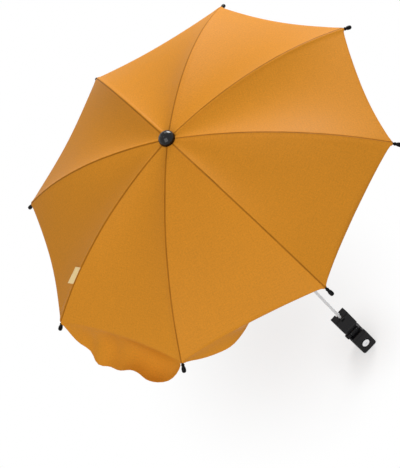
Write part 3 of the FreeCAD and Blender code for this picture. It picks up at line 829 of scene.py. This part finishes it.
TUCKED = Flap(
    depths=((0.0, 0.0), (0.15, 28.0), (0.5, 55.0), (0.85, 28.0), (1.0, 0.0)),
    turns=((0.0, 164.0), (1.0, 164.0)),
    last_turns=((0.0, 168.0), (1.0, 168.0)),
    roll_radius=7 * MM,
)
HALF_OUT = Flap(
    depths=((0.0, 0.0), (0.15, 28.0), (0.5, 50.0), (0.62, 46.0), (0.8, 40.0), (0.92, 22.0), (1.0, 0.0)),
    turns=((0.0, 164.0), (0.36, 146.0), (0.46, 122.0), (0.54, 102.0), (0.61, 82.0), (0.68, 68.0),
           (0.8, 64.0), (1.0, 64.0)),
    last_turns=((0.0, 168.0), (0.36, 146.0), (0.46, 116.0), (0.54, 94.0), (0.61, 72.0), (0.68, 54.0),
                (0.8, 48.0), (1.0, 52.0)),
    roll_radius=8 * MM,
)
LOOSE = Flap(
    depths=((0.0, 0.0), (0.05, 22.0), (0.1, 44.0), (0.15, 64.0), (0.21, 80.0), (0.28, 85.0), (0.36, 79.0),
            (0.44, 78.0), (0.54, 84.0), (0.61, 88.0), (0.68, 88.0), (0.76, 76.0), (0.85, 54.0),
            (0.93, 27.0), (1.0, 0.0)),
    turns=((0.0, 44.0), (0.1, 50.0), (0.2, 56.0), (0.3, 58.0), (0.42, 62.0), (0.54, 52.0), (0.64, 56.0),
           (0.72, 40.0), (0.8, 46.0), (0.88, 30.0), (1.0, 30.0)),
    last_turns=((0.0, 4.0), (0.1, -28.0), (0.2, -64.0), (0.3, -64.0), (0.4, -52.0), (0.54, -22.0),
                (0.64, -14.0), (0.72, 0.0), (0.85, 18.0), (1.0, 18.0)),
    roll_radius=9 * MM,
)
HANGING_FLAPS = {4: HALF_OUT, 5: LOOSE}


@dataclass(frozen=True)
class Sewing:
    """Small heights of the sewn cloth: a seam's groove and felled edge, the hem, puckers and slack."""

    groove_depth: float = 0.6 * MM
    groove_width: float = 0.9 * MM
    felled_height: float = 0.75 * MM
    felled_width: float = 5.2 * MM
    felled_edge: float = 0.35 * MM
    hem_height: float = 0.45 * MM
    hem_width: float = 6.5 * MM
    hem_edge: float = 0.5 * MM
    pucker_height: float = 0.14 * MM
    pucker_pitch: float = 7.5 * MM
    pucker_reach: float = 5 * MM
    pucker_start: float = 60 * MM
    slack_height: float = 0.5 * MM
    slack_reach: float = 25 * MM
    slack_start: float = 120 * MM
    slack_turns: tuple[float, float] = (21, 26)
    slack_shifts: tuple[float, float] = (1.7, 2.3)

    @staticmethod
    def _ledge(distance: np.ndarray, width: float, edge: float) -> np.ndarray:
        """One within a width of a line, falling to nought over a soft edge."""
        return (1 - np.tanh((distance - width) / (2 * edge))) / 2

    def height(self, gore: int, seam: np.ndarray, hem: np.ndarray, cut: np.ndarray,
               own_side: np.ndarray) -> np.ndarray:
        """Height square to a gore's cloth.

        Args:
            gore: The gore's number.
            seam: Distance from the nearer seam.
            hem: Distance from the hem.
            cut: Places on the gore's flat cut.
            own_side: Whether the nearer seam is the gore's own.

        Returns:
            The height.
        """
        groove = np.exp(-((seam / self.groove_width) ** 2))
        felled = self.felled_height * self._ledge(seam, self.felled_width, self.felled_edge)
        turned = self.hem_height * self._ledge(hem, self.hem_width, self.hem_edge)
        across, along = cut[..., 0], cut[..., 1]
        pucker = np.sin(2 * math.pi * along / self.pucker_pitch) * np.exp(-seam / self.pucker_reach)
        pucker = self.pucker_height * pucker * eased(along / self.pucker_start)
        turns, shifts = self.slack_turns, self.slack_shifts
        slack = np.sin(along * turns[0] + gore * shifts[0]) * np.cos(across * turns[1] + gore * shifts[1])
        slack = self.slack_height * slack * (1 - np.exp(-seam / self.slack_reach))
        slack = slack * eased(along / self.slack_start)
        return felled * (1 - groove) * own_side - self.groove_depth * groove + turned + pucker + slack


@dataclass
class GoreGrid:
    """A gore's cloth as a grid of columns and rows.

    Args:
        points: Places in the row frame.
        cut: Places on the flat cut, in metres.
        seam: Distances from the nearer seam, in millimetres.
        normals: Outward directions.
    """

    points: np.ndarray
    cut: np.ndarray
    seam: np.ndarray
    normals: np.ndarray


@dataclass
class Gore:
    """One gore between two ribs, from the crown to the hem of its flap."""

    number: int
    flap: Flap
    crown: Vector
    arc: RibArc = RibArc()
    sewing: Sewing = Sewing()
    lift: float = 3.1 * MM
    inner_radius: float = 13.2 * MM
    dip: float = 14 * MM
    dip_reach: float = 0.92
    dip_power: float = 1.1
    rim_bow: float = 14 * MM
    near_seam: tuple[float, ...] = (0.0, 0.5, 1.0, 1.7, 2.6, 3.8, 5.0, 6.5)
    most_near: float = 0.6
    far_columns: int = 17
    rows: int = 54
    flap_rows: int = 24
    probe: float = 0.002
    cut_pitch: float = 0.7

    @property
    def half_columns(self) -> int:
        """Columns from a seam to the gore's middle, both ends counted."""
        return len(self.near_seam) + self.far_columns - 1

    def _from_seam(self, half_width: np.ndarray, column: int) -> np.ndarray:
        """Distance of a column from its seam: close rows of columns by the seam, then even ones.

        Args:
            half_width: Half of the gore's width.
            column: The column, counted from the seam.

        Returns:
            The distance.
        """
        near = np.array(self.near_seam) * MM
        scale = np.minimum(1.0, self.most_near * half_width / near[-1])
        if column < len(near):
            return near[column] * scale
        share = (column - len(near) + 1) / (self.far_columns - 1)
        return near[-1] * scale + share * (half_width - near[-1] * scale)

    def width(self, share: np.ndarray) -> np.ndarray:
        """Width of the gore from rib to rib, at shares of the rib's length."""
        return 2 * self.arc.at(share, self.lift)[0] * math.sin(RIB_PITCH / 2)

    def surface(self, share: np.ndarray, across: np.ndarray) -> np.ndarray:
        """Places on the stretched cloth.

        Args:
            share: Shares of the rib's length.
            across: Shares of the way from the gore's own rib to the next.

        Returns:
            The places in the row frame.
        """
        radius, height = self.arc.at(share, self.lift)
        slope = self.arc.slope(share)
        own = azimuth_of(self.number)
        following, middle = own - RIB_PITCH, own - RIB_PITCH / 2
        x, y = (radius * ((1 - across) * side(own) + across * side(following))
                for side in (math.cos, math.sin))
        out = np.stack([np.sin(slope) * math.cos(middle), np.sin(slope) * math.sin(middle), np.cos(slope)],
                       -1)
        depth = self.dip * bow(across) ** self.dip_power * np.sin(math.pi * self.dip_reach * share)
        return np.stack([x, y, height], -1) - out * depth[..., None] + np.array(self.crown)

    def upright(self, share: np.ndarray, across: np.ndarray) -> np.ndarray:
        """Outward directions on the stretched cloth.

        Args:
            share: Shares of the rib's length.
            across: Shares of the way from the gore's own rib to the next.

        Returns:
            The directions.
        """
        along = self.surface(share + self.probe, across) - self.surface(share - self.probe, across)
        aside = self.surface(share, across + self.probe) - self.surface(share, across - self.probe)
        return unit(np.cross(aside, along))

    def _column(self, column: int, from_next: bool) -> tuple[np.ndarray, ...]:
        """One column of the gore, from the crown to the hem.

        Args:
            column: The column, counted from its seam.
            from_next: Whether the seam is the next rib's.

        Returns:
            Places, flat cut, distances from the seam and distances from the hem.
        """
        rim_width = self.width(np.array(1.0))
        place = float(self._from_seam(rim_width / 2, column) / rim_width)
        place = 1 - place if from_next else place
        start = (self.inner_radius - self.arc.pivot_radius) / self.arc.length
        end = 1 - self.rim_bow * bow(place) / self.arc.length
        share = start + (end - start) * np.linspace(0, 1, self.rows)
        width = self.width(share)
        seam = self._from_seam(width / 2, column)
        across = 1 - seam / width if from_next else seam / width
        main = self.surface(share, across)
        normal = self.upright(share[-1:], across[-1:])[0]
        tangent = unit(main[-1] - self.surface(share[-1:] - 2 * self.probe, across[-1:])[0])
        length, angles = self.flap.line(place, self.flap_rows)
        angle = angles[:, None]
        steps = (np.cos(angle) * tangent - np.sin(angle) * normal) * (length / self.flap_rows)
        flap = main[-1] + np.cumsum(steps, axis=0)
        fall = length * (np.arange(self.flap_rows) + 1) / self.flap_rows
        along = np.concatenate([share * self.arc.length, share[-1] * self.arc.length + fall])
        aside = np.pad((across - 0.5) * width, (0, self.flap_rows), "edge")
        seam = np.pad(seam, (0, self.flap_rows), "edge")
        return np.concatenate([main, flap]), np.stack([aside, along], -1), seam, along[-1] - along

    def grid(self) -> GoreGrid:
        """The whole gore, from its own rib to the next one.

        Returns:
            The gore's grid, with its flat cut set apart from the other gores'.
        """
        half = self.half_columns
        columns = [self._column(column, False) for column in range(half)]
        columns += [self._column(column, True) for column in range(half - 2, -1, -1)]
        points, cut, seam, hem = (np.array(values) for values in zip(*columns))
        normals = unit(np.cross(np.gradient(points, axis=0), np.gradient(points, axis=1)))
        own_side = np.arange(len(columns))[:, None] < half
        height = self.sewing.height(self.number, seam, hem, cut, own_side)
        apart = np.array([self.number * self.cut_pitch, 0.0])
        return GoreGrid(points + normals * height[..., None], cut + apart, seam / MM, normals)


@dataclass(frozen=True)
class Stitch:
    """A single sewn stitch: a short thread with pointed ends."""

    length: float = 2.4 * MM
    thickness: float = 0.42 * MM
    pitch: float = 3.4 * MM
    shoulders: tuple[float, float] = (0.22, 0.78)
    arch: float = 0.4

    def row(self, line: np.ndarray, normals: np.ndarray) -> tuple[np.ndarray, list[list[int]]]:
        """Stitches along a line on the cloth.

        Args:
            line: Places along the line.
            normals: Outward directions there.

        Returns:
            Vertices and faces of the stitches.
        """
        run = run_along(line)
        points: list[np.ndarray] = []
        faces: list[list[int]] = []
        for index in range(int(run[-1] / self.pitch)):
            ends = np.array([index * self.pitch, index * self.pitch + self.length])
            tips = np.stack([np.interp(ends, run, line[:, axis]) for axis in range(3)], -1)
            up = unit(np.array([np.interp(ends.mean(), run, normals[:, axis]) for axis in range(3)]))
            faces += self._faces(len(points))
            points += self._points(tips, up)
        return np.array(points).reshape(-1, 3), faces

    def _points(self, tips: np.ndarray, up: np.ndarray) -> list[np.ndarray]:
        """Vertices of one stitch: a tip, four round each shoulder and the other tip.

        Args:
            tips: The two ends of the stitch.
            up: Outward direction.

        Returns:
            The vertices.
        """
        side = unit(np.cross(up, tips[1] - tips[0])) * self.thickness / 2
        rise = up * self.thickness / 2
        points = [tips[0] - rise]
        for share in self.shoulders:
            middle = tips[0] * (1 - share) + tips[1] * share + rise * self.arch
            points += [middle + side, middle + rise, middle - side, middle - rise]
        return points + [tips[1] - rise]

    @staticmethod
    def _faces(base: int) -> list[list[int]]:
        """Faces of one stitch.

        Args:
            base: Number of its first vertex.

        Returns:
            The faces.
        """
        near, far, last = base + 1, base + 5, base + 9
        faces: list[list[int]] = []
        for turn in range(4):
            following = (turn + 1) % 4
            faces.append([base, near + following, near + turn])
            faces.append([near + turn, near + following, far + following, far + turn])
            faces.append([far + turn, far + following, last])
        return faces


@dataclass
class Canopy(SubAssembly):
    """Eight gores, sewn at the ribs and cut into one piece for each rib so that it folds with them."""

    thickness: float = 0.6 * MM
    folded_width: float = 0.38
    stitch: Stitch = Stitch()
    stitch_lift: float = 0.12 * MM
    seam_columns: tuple[int, int] = (4, 6)
    first_seam_row: int = 3
    hem_row: int = -2

    def __post_init__(self) -> None:
        """Work out every gore."""
        self.crown = middle_of("crown_wire")
        self.gores = {rib: Gore(rib, HANGING_FLAPS.get(rib, TUCKED), self.crown) for rib in RIBS}
        self.grids = {rib: gore.grid() for rib, gore in self.gores.items()}
        self.thread = Thread().material()

    def build(self) -> None:
        """Make the panels and their stitching."""
        for rib in RIBS:
            panel = self.panel(rib)
            stitching = self.stitching(rib)
            for piece in (panel, stitching):
                self.fold(piece, rib)
            self.hang(panel, f"rib_{rib}", Finish.CANOPY_CLOTH, f"canopy_panel_{rib}")
            self.hang(stitching, f"rib_{rib}", Finish.CANOPY_CLOTH)

    def fold(self, piece: bpy.types.Object, rib: int) -> None:
        """Give a piece a mesh of its own.

        Args:
            piece: The piece.
            rib: The rib that it rides on.
        """
        azimuth = azimuth_of(rib)
        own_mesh(piece)

    def panel(self, rib: int) -> bpy.types.Object:
        """Cloth from the middle of one gore over a rib to the middle of the next.

        Args:
            rib: The rib.

        Returns:
            The panel.
        """
        half = self.gores[rib].half_columns
        left, right = self.grids[before(rib)], self.grids[rib]
        points = np.concatenate([left.points[half - 1:-1], right.points[:half]])
        seam = np.concatenate([left.seam[half - 1:-1], right.seam[:half]])
        cuts = np.stack([face_corners(left.cut[half - 1:]), face_corners(right.cut[:half])])
        cloth = self.finishes.of(Finish.CANOPY_CLOTH)
        panel = new_cloth(f"canopy_cloth_{rib}", points, cuts, cloth, self.thickness, offset=-1)
        self._sharpen_border(panel.data, *points.shape[:2])
        attribute = panel.data.attributes.new("seam", "FLOAT", "POINT")
        attribute.data.foreach_set("value", seam.reshape(-1).astype(np.float32))
        return panel

    @staticmethod
    def _sharpen_border(mesh: bpy.types.Mesh, columns: int, rows: int) -> None:
        """Keep the shading of a panel's face apart from its cut edge.

        Args:
            mesh: The panel's mesh.
            columns: How many columns its grid has.
            rows: How many rows its grid has.
        """
        ends = np.zeros(len(mesh.edges) * 2, dtype=np.int32)
        mesh.edges.foreach_get("vertices", ends)
        sharp = np.zeros(len(mesh.edges), dtype=bool)
        for place, count in zip(np.divmod(ends.reshape(-1, 2), rows), (columns, rows)):
            first, second = place.T
            sharp |= (first == second) & ((first == 0) | (first == count - 1))
        mesh.attributes.new("sharp_edge", "BOOLEAN", "EDGE").data.foreach_set("value", sharp)

    def stitching(self, rib: int) -> bpy.types.Object:
        """Two rows of stitches along a rib's seam and one round the hem of its two half gores.

        Args:
            rib: The rib.

        Returns:
            The stitching.
        """
        gore = self.gores[rib]
        half = gore.half_columns
        left, right = self.grids[before(rib)], self.grids[rib]
        runs = [(right, (column, slice(self.first_seam_row, gore.rows))) for column in self.seam_columns]
        runs += [(left, (slice(half - 1, None), self.hem_row)), (right, (slice(half), self.hem_row))]
        points = np.zeros((0, 3))
        faces: list[list[int]] = []
        for grid, run in runs:
            normals = grid.normals[run]
            made, sides = self.stitch.row(grid.points[run] + normals * self.stitch_lift, normals)
            faces += [[len(points) + corner for corner in side] for side in sides]
            points = np.concatenate([points, made])
        return new_piece(f"seam_stitching_{rib}", points, faces, self.thread)


@dataclass
class LabelTag(SubAssembly):
    """Bare ribbon, folded once and sewn by both ends into a seam."""

    rib: int = 6
    place: float = 0.748
    length: float = 34 * MM
    reach: float = 9.5 * MM
    fold_radius: float = 0.55 * MM
    lift: float = 0.95 * MM
    seam_gap: float = 0.8 * MM
    curl: float = 1.6 * MM
    curl_start: float = 0.35
    lean: float = math.radians(38)
    skew: float = 0.72
    thickness: float = 0.25 * MM
    steps: int = 25
    side_steps: int = 9
    fold_steps: int = 9

    def build(self) -> None:
        """Lay the tag on the gore beside its seam."""
        outline = self._outline()
        along = np.linspace(0, 1, self.steps)
        flat = np.stack(np.meshgrid(along * self.length, run_along(outline), indexing="ij"), -1)
        tag = new_cloth("folded_tag", self._places(along, outline), face_corners(flat, turned=True),
                        self.finishes.of(Finish.TAG_CLOTH), self.thickness, offset=0, turned=True)
        self.hang(tag, f"rib_{self.rib}", Finish.TAG_CLOTH, "label_tag")

    def _places(self, along: np.ndarray, outline: np.ndarray) -> np.ndarray:
        """Places of the ribbon, leaning away from the cloth.

        Args:
            along: Shares of the tag's length.
            outline: Its section.

        Returns:
            A place for each share and each point of the section.
        """
        gore = Gore(self.rib, TUCKED, middle_of("crown_wire"))
        share = along[:, None]
        out, up = outline.T
        at = self.place + ((share - 0.5) * self.length + self.skew * out) / gore.arc.length
        across = (self.seam_gap + out * math.cos(self.lean)) / gore.width(at)
        swing = np.maximum((share - self.curl_start) * self.curl * (out / self.reach) ** 2, 0)
        rise = self.lift + out * math.sin(self.lean) + up + swing
        return gore.surface(at, across) + gore.upright(at, across) * rise[..., None]

    def _outline(self) -> np.ndarray:
        """The folded ribbon's section: out along the top, round the fold and back below.

        Returns:
            Pairs of distance from the seam and height.
        """
        turn = np.linspace(math.pi / 2, -math.pi / 2, self.fold_steps)
        fold = np.stack([self.reach + self.fold_radius * np.cos(turn), self.fold_radius * np.sin(turn)], -1)
        out = np.linspace(0, self.reach, self.side_steps, endpoint=False)
        top = np.stack([out, np.full(self.side_steps, self.fold_radius)], -1)
        return np.concatenate([top, fold, top[::-1] * (1, -1)])


@dataclass
class TipCups(SubAssembly):
    """Black cups over the rib ends, in millimetres: a slim neck, a ring and a round bulb."""

    skin: Plastic = Plastic("cup_black", Colour(6, 6, 7), roughness=0.34, grain_cells=900,
                            grain_depth=0.01 * MM, specular=0.08)
    profile: Pairs = ((1.78, 1.6), (2.05, 1.6), (2.2, 5.0), (3.2, 5.4), (3.2, 6.8), (2.6, 7.4),
                         (2.8, 9.4), (3.7, 11.6), (4.0, 15.2), (3.6, 18.4), (1.9, 20.0), (0.0, 20.0))
    sides: int = 32

    def build(self) -> None:
        """Turn one cup for each rib."""
        arc = RibArc()
        radius, height = (float(value) for value in arc.at(np.array(1.0)))
        lean = Matrix.Rotation(math.pi / 2 + arc.rim_slope, 4, "Y")
        end = Matrix.Translation((radius, 0.0, height)) @ lean
        crown = Matrix.Translation(middle_of("crown_wire"))
        line = tuple((out * MM, along * MM) for out, along in rounded_profile(self.profile))
        black = self.skin.material()
        for rib in RIBS:
            seat = crown @ Matrix.Rotation(azimuth_of(rib), 4, "Z") @ end
            cup = lathe(f"rib_cup_{rib}", line, seat, black, self.sides)
            self.hang(cup, f"rib_{rib}", Finish.GLOSS_BLACK, f"tip_cup_{rib}")


@dataclass
class Ferrule(SubAssembly):
    """Glossy cap on the crown: a round rim, an almost spherical dome and a low nub, in millimetres."""

    profile: Pairs = ((3.6, 0.0), (14.4, 0.0), (15.2, 0.6), (15.25, 4.2), (14.9, 6.6), (13.6, 9.8),
                         (11.4, 12.6), (8.8, 14.9), (6.4, 16.3), (5.3, 16.5), (5.0, 17.0), (4.5, 18.1),
                         (3.0, 18.5), (0.0, 18.5))
    sides: int = 64

    def build(self) -> None:
        """Turn the cap where its node is, as tall as the node."""
        low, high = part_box("ferrule_cap")
        middle = (low + high) / 2
        tall = (high.z - low.z) / self.profile[-1][1]
        line = tuple((out * MM, up * tall) for out, up in rounded_profile(self.profile))
        seat = Matrix.Translation((middle.x, middle.y, low.z))
        cap = lathe("ferrule", line, seat, self.finishes.of(Finish.GLOSS_BLACK), self.sides)
        self.hang(cap, "shaft", Finish.GLOSS_BLACK, "ferrule_cap")


class FoldingFrame(SubAssembly):
    """Ribs, stretchers, hubs, shaft and their small fittings, as they are in the frame."""

    def build(self) -> None:
        """Dress the metal and plastic of the folding frame."""
        self.dress(Finish.RIB_STEEL, *(f"{kind}_{rib}" for kind in ("rib", "stretcher") for rib in RIBS))
        self.dress(Finish.BRIGHT_STEEL, "crown_wire", *(f"rib_rivet_{rib}" for rib in RIBS))
        self.dress(Finish.HUB_PLASTIC, "crown", "canopy_washer", "runner", "runner_stop", "shaft_foot")
        self.dress(Finish.SPRING_STEEL, "catch_spring")
        self.dress(Finish.SHAFT_COAT, "shaft_tube")


class Clamp(SubAssembly):
    """Two-jaw clamp with its pins, pads, bolt and knob."""

    def build(self) -> None:
        """Dress the clamp."""
        self.dress(Finish.CLAMP_PLASTIC, "clamp_body", "front_jaw", "clamp_knob")
        self.dress(Finish.BRIGHT_STEEL, "tilt_pin", "jaw_hinge_pin", "clamp_bolt", "clamp_washer")
        self.dress(Finish.PAD_RUBBER, "rear_pad", "front_pad")


# Studio


@dataclass(frozen=True)
class Lamp:
    """A soft square lamp that looks at the canopy, placed by its angles in degrees."""

    name: str
    azimuth: float
    elevation: float
    distance: float
    side: float
    power: float

    def light(self, target: Vector) -> None:
        """Hang the lamp.

        Args:
            target: The point that it looks at.
        """
        data = bpy.data.lights.new(self.name, "AREA")
        data.energy = self.power
        data.size = self.side
        lamp = bpy.data.objects.new(self.name, data)
        turn, rise = math.radians(self.azimuth), math.radians(self.elevation)
        way = Vector((math.cos(rise) * math.cos(turn), math.cos(rise) * math.sin(turn), math.sin(rise)))
        lamp.location = target + way * self.distance
        lamp.rotation_euler = way.to_track_quat("Z", "Y").to_euler()
        bpy.context.scene.collection.objects.link(lamp)


@dataclass(frozen=True)
class Studio:
    """Pale floor, soft lamps and the photograph's camera."""

    photo_width: int = 400
    focal_pixels: float = 1662.6
    sensor: float = 36.0
    camera_place: tuple[float, float, float] = (1.9349, -0.0893, 2.9394)
    camera_right: tuple[float, float, float] = (0.55706, 0.69241, -0.45853)
    camera_up: tuple[float, float, float] = (-0.53134, 0.72149, 0.44399)
    white: Colour = Colour(255, 255, 255)
    paper: Colour = Colour(240, 240, 240)
    floor_half: float = 7.0
    floor_gap: float = 1 * MM
    # painted shadow: round these places the floor's glow is cut back, greying it under the canopy and round
    # the clamp's foot
    shadow_place: tuple[float, float, float] = (-0.19, -0.11, -0.05)
    shadow_reach: float = 0.36
    shadow_share: float = 0.45
    contact_shadow_reach: float = 0.13
    contact_shadow_share: float = 0.4
    sky: float = 0.3
    target_drop: float = 0.1
    lamps: tuple[Lamp, ...] = (
        Lamp("front_lamp", azimuth=-32, elevation=46, distance=2.6, side=2.0, power=38),
        Lamp("side_lamp", azimuth=127, elevation=12, distance=2.6, side=1.2, power=58),
    )

    def build(self) -> None:
        """Set up the whole studio."""
        self._camera()
        self._floor()
        self._sky()
        low, high = CAD_BOX
        target = Vector(((low.x + high.x) / 2, (low.y + high.y) / 2, high.z - self.target_drop))
        for lamp in self.lamps:
            lamp.light(target)
        bpy.context.scene.view_settings.view_transform = "Standard"

    def _camera(self) -> None:
        """Stand the camera where the photograph was taken from."""
        data = bpy.data.cameras.new("camera")
        data.sensor_fit = "HORIZONTAL"
        data.sensor_width = self.sensor
        data.lens = self.focal_pixels * self.sensor / self.photo_width
        camera = bpy.data.objects.new("camera", data)
        right, up = Vector(self.camera_right).normalized(), Vector(self.camera_up).normalized()
        turn = Matrix((right, up, right.cross(up))).transposed()
        camera.matrix_world = Matrix.Translation(self.camera_place) @ turn.to_4x4()
        bpy.context.scene.collection.objects.link(camera)
        bpy.context.scene.camera = camera

    @staticmethod
    def _seen(paint: Paint) -> Wire:
        """One where the camera, a mirror or a glass sees the surface.

        Args:
            paint: The surface's paint.

        Returns:
            One or nought.
        """
        rays = ("Is_Camera_Ray", "Is_Glossy_Ray", "Is_Transmission_Ray")
        first, *others = (paint.node("ShaderNodeLightPath", output=ray) for ray in rays)
        return paint.node("ShaderNodeClamp", Value=sum(others, first))

    def _floor(self) -> None:
        """Lay the floor under the lowest point of the object. Its white glow is cut back round a spot under
        the canopy and round the clamp's foot. This paints a soft grey shadow there and lets the real shadow
        show through.
        """
        paint = Paint("floor_paper")
        paper = paint.node("ShaderNodeBsdfDiffuse", Color=self.paper)
        glow = paint.node("ShaderNodeEmission", Color=self.white, Strength=1.0)
        away = paint.node("ShaderNodeVectorMath", {"operation": "DISTANCE"}, "Value",
                          Vector=paint.place(), Vector_001=self.shadow_place)
        foot = paint.node("ShaderNodeVectorMath", {"operation": "LENGTH"}, "Value", Vector=paint.place())
        # painted shadow: share of the floor's white glow taken away near the object
        shade = away.falls_from(0.0, self.shadow_reach) * self.shadow_share
        shade = shade + foot.falls_from(0.0, self.contact_shadow_reach) * self.contact_shadow_share
        mixed = paint.node("ShaderNodeMixShader", Fac=self._seen(paint) * (1 - shade), Shader=paper,
                           Shader_001=glow)
        half, level = self.floor_half, CAD_BOX[0].z - self.floor_gap
        corners = [(-half, -half, level), (half, -half, level), (half, half, level), (-half, half, level)]
        floor = new_piece("floor", np.array(corners), [(0, 1, 2, 3)], paint.finish(mixed), smooth=False)

    def _sky(self) -> None:
        """Light the object evenly from all round, white where it is seen."""
        paint = Paint("sky", world=True)
        strength = self._seen(paint) * (1 - self.sky) + self.sky
        back = paint.node("ShaderNodeBackground", Color=self.white, Strength=strength)
        bpy.context.scene.world = paint.finish(back, "ShaderNodeOutputWorld")


def main() -> None:
    """Build every sub-assembly, then the studio."""
    logging.basicConfig(level=logging.INFO, format="%(name)s: %(message)s")
    finishes = Finishes()
    for assembly in (Canopy, LabelTag, TipCups, Ferrule, FoldingFrame, Clamp):
        assembly(finishes).build()
    Studio().build()
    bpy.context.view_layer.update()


if __name__ == "__main__":
    main()
